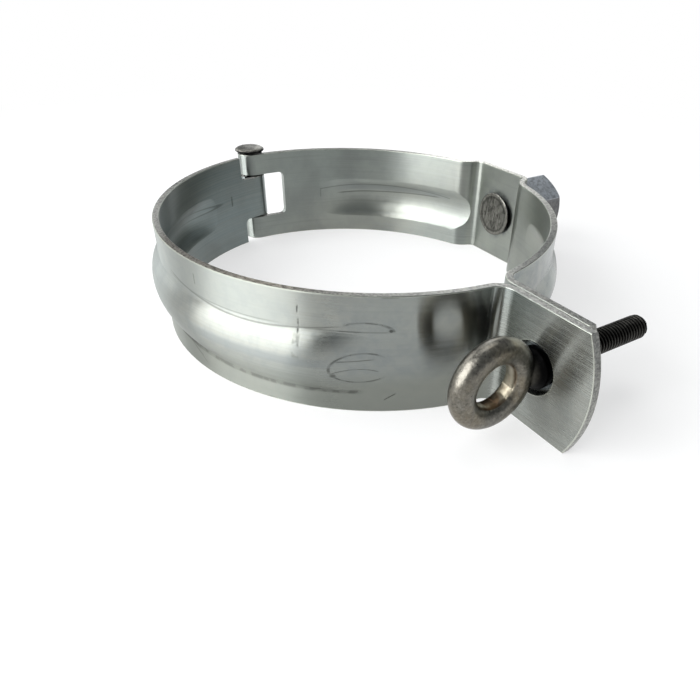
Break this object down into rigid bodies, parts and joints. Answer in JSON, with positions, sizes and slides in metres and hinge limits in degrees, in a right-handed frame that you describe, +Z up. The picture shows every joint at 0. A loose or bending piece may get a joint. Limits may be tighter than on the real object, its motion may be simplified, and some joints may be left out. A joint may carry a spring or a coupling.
{
  "type": "downpipe bracket",
  "caption": "Hinged two-part pipe bracket of beaded strip, with a hex boss for a wall screw and an eye bolt that draws the flanges together.",
  "frame": {"origin": "centre of the front half's ring, on the strip's bottom edge", "axes": "+X from the hinge to the closing flanges, +Y out of the hex boss towards the wall, +Z up along the pipe"},
  "size_m": [0.1312, 0.1139, 0.0268],
  "materials": {
    "galvanised_strip": "satin zinc, brushed along the strip",
    "pin_steel": "dull dark steel",
    "boss_zinc": "mottled bluish zinc",
    "bolt_steel": "satin dark steel"
  },
  "bodies": {
    "wall_half": {"wall_band": "galvanised_strip", "hex_boss": "boss_zinc", "hinge_pin": "pin_steel"},
    "front_half": {"front_band": "galvanised_strip"},
    "eye_screw": {"eye_bolt": "bolt_steel"}
  },
  "joints": [
    {"name": "clamp_hinge", "type": "hinge", "parent": "wall_half", "child": "front_half", "pos_m": [-0.0525, -0.01059, 0.0125], "axis": [0, 0, -1], "range_deg": [0, 11]},
    {"name": "eye_slide", "type": "slide", "parent": "wall_half", "child": "eye_screw", "axis": [0, -1, 0], "range_m": [0, 0.022]}
  ],
  "couplings": [
    {"joint": "eye_slide", "follows": "clamp_hinge", "m_per_rad": 0.1134}
  ]
}
